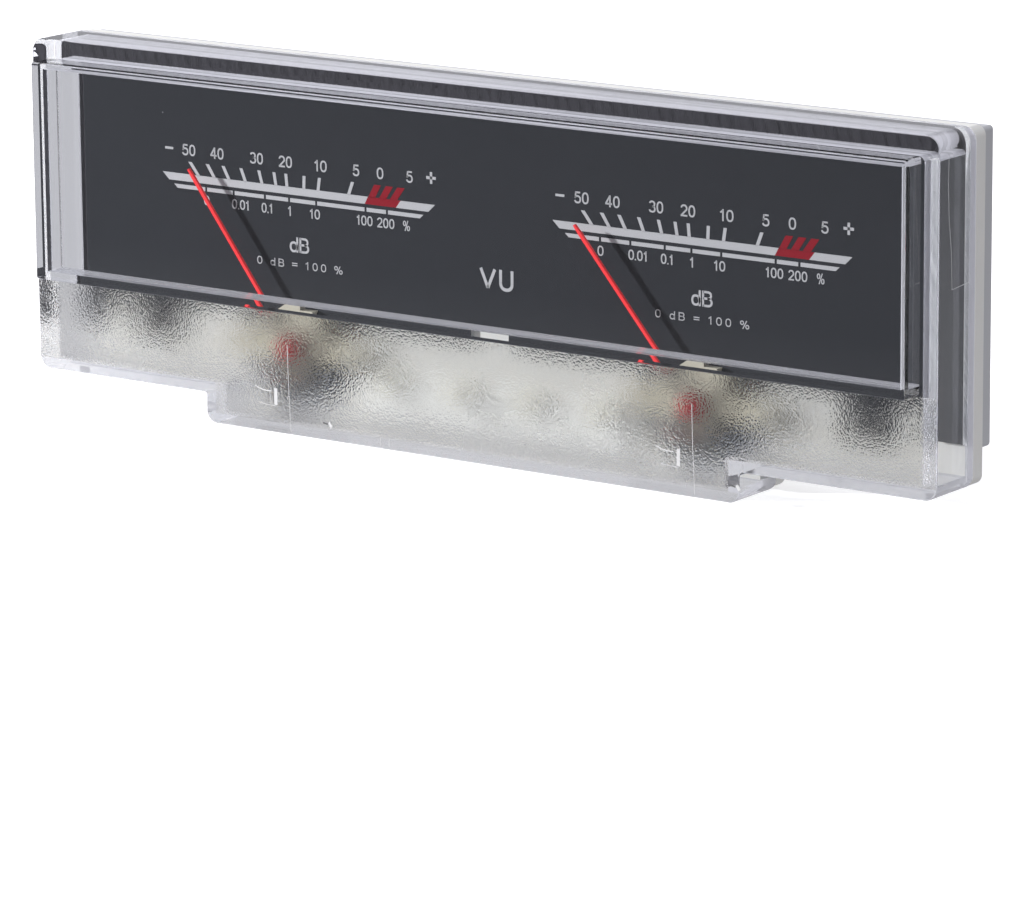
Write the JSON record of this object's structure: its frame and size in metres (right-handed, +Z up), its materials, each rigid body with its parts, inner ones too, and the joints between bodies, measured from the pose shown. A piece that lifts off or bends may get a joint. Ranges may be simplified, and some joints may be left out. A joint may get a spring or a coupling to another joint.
{
  "type": "twin analog vu meter",
  "caption": "Twin analog level meter: clear cover with a raised window over a shared dark dial, red pointers on moving-coil movements set in a cream base.",
  "frame": {"origin": "bottom centre of the meter's bounding box, on the lower edge of the cover's tab", "axes": "+X to the right of someone reading the dial, -Y towards the reader, +Z up"},
  "size_m": [0.134, 0.0204, 0.0463],
  "materials": {
    "clear_cover": "clear polystyrene moulding, polished window and fine matt lower band",
    "dial_sheet": "satin charcoal paint with printed scales",
    "cream_moulding": "cream moulded plastic, satin",
    "grey_plate": "grey plastic plate, satin",
    "zinc_steel": "zinc plated steel",
    "board": "white solder mask on a circuit board",
    "diode": "white diode case with a clear cup",
    "tinned_pin": "tinned wire",
    "black_moulding": "black moulded plastic",
    "plated_iron": "zinc plated soft iron, bluish",
    "magnet": "ground magnet alloy",
    "cream_bridge": "cream moulded plastic",
    "brass": "turned brass",
    "lever_sheet": "stamped brass sheet",
    "spring_bronze": "rolled bronze strip",
    "red_hub": "red moulded cap",
    "red_pointer": "aluminium sheet painted bright red",
    "tin_bead": "crimped tin bead",
    "steel_staff": "polished steel",
    "former_sheet": "bent aluminium strip",
    "copper_winding": "enamelled copper wire, wound and varnished"
  },
  "bodies": {
    "housing": {"base_housing": "cream_moulding", "dial_plate": "dial_sheet", "front_cover": "clear_cover", "lamp_board": "board", "lamp_diode_1": "diode", "lamp_diode_2": "diode", "lamp_diode_3": "diode", "lamp_diode_4": "diode", "lamp_pin_1": "tinned_pin", "lamp_pin_2": "tinned_pin", "left_core_magnet": "magnet", "left_front_bearing": "brass", "left_front_bridge": "cream_bridge", "left_movement_frame": "black_moulding", "left_rear_hairspring": "spring_bronze", "left_rear_jewel": "brass", "left_terminal_1": "tinned_pin", "left_terminal_2": "tinned_pin", "left_yoke_ring": "plated_iron", "plate_screw_1": "zinc_steel", "plate_screw_2": "zinc_steel", "plate_screw_3": "zinc_steel", "plate_screw_4": "zinc_steel", "rear_plate": "grey_plate", "right_core_magnet": "magnet", "right_front_bearing": "brass", "right_front_bridge": "cream_bridge", "right_movement_frame": "black_moulding", "right_rear_hairspring": "spring_bronze", "right_rear_jewel": "brass", "right_terminal_1": "tinned_pin", "right_terminal_2": "tinned_pin", "right_yoke_ring": "plated_iron"},
    "left_needle": {"left_pointer": "red_pointer", "left_pointer_hub": "red_hub", "left_balance_weight_1": "tin_bead", "left_balance_weight_2": "tin_bead", "left_balance_weight_3": "tin_bead", "left_front_staff": "steel_staff", "left_rear_staff": "steel_staff", "left_coil_former": "former_sheet", "left_coil_winding": "copper_winding"},
    "left_zero": {"left_zero_lever": "lever_sheet", "left_front_hairspring": "spring_bronze"},
    "right_needle": {"right_pointer": "red_pointer", "right_pointer_hub": "red_hub", "right_balance_weight_1": "tin_bead", "right_balance_weight_2": "tin_bead", "right_balance_weight_3": "tin_bead", "right_front_staff": "steel_staff", "right_rear_staff": "steel_staff", "right_coil_former": "former_sheet", "right_coil_winding": "copper_winding"},
    "right_zero": {"right_zero_lever": "lever_sheet", "right_front_hairspring": "spring_bronze"}
  },
  "joints": [
    {"name": "left_needle_turn", "type": "hinge", "parent": "housing", "child": "left_needle", "pos_m": [-0.0301, 0.001, 0.0097], "axis": [0, 1, 0], "range_deg": [-4.9, 79.1], "stiffness_Nm_per_rad": 0.000012},
    {"name": "left_zero_turn", "type": "hinge", "parent": "housing", "child": "left_zero", "pos_m": [-0.0301, 0.0005, 0.0097], "axis": [0, 1, 0], "range_deg": [-8, 8]},
    {"name": "right_needle_turn", "type": "hinge", "parent": "housing", "child": "right_needle", "pos_m": [0.0301, 0.001, 0.0097], "axis": [0, 1, 0], "range_deg": [-1.6, 82.4], "stiffness_Nm_per_rad": 0.000012},
    {"name": "right_zero_turn", "type": "hinge", "parent": "housing", "child": "right_zero", "pos_m": [0.0301, 0.0005, 0.0097], "axis": [0, 1, 0], "range_deg": [-8, 8]}
  ]
}
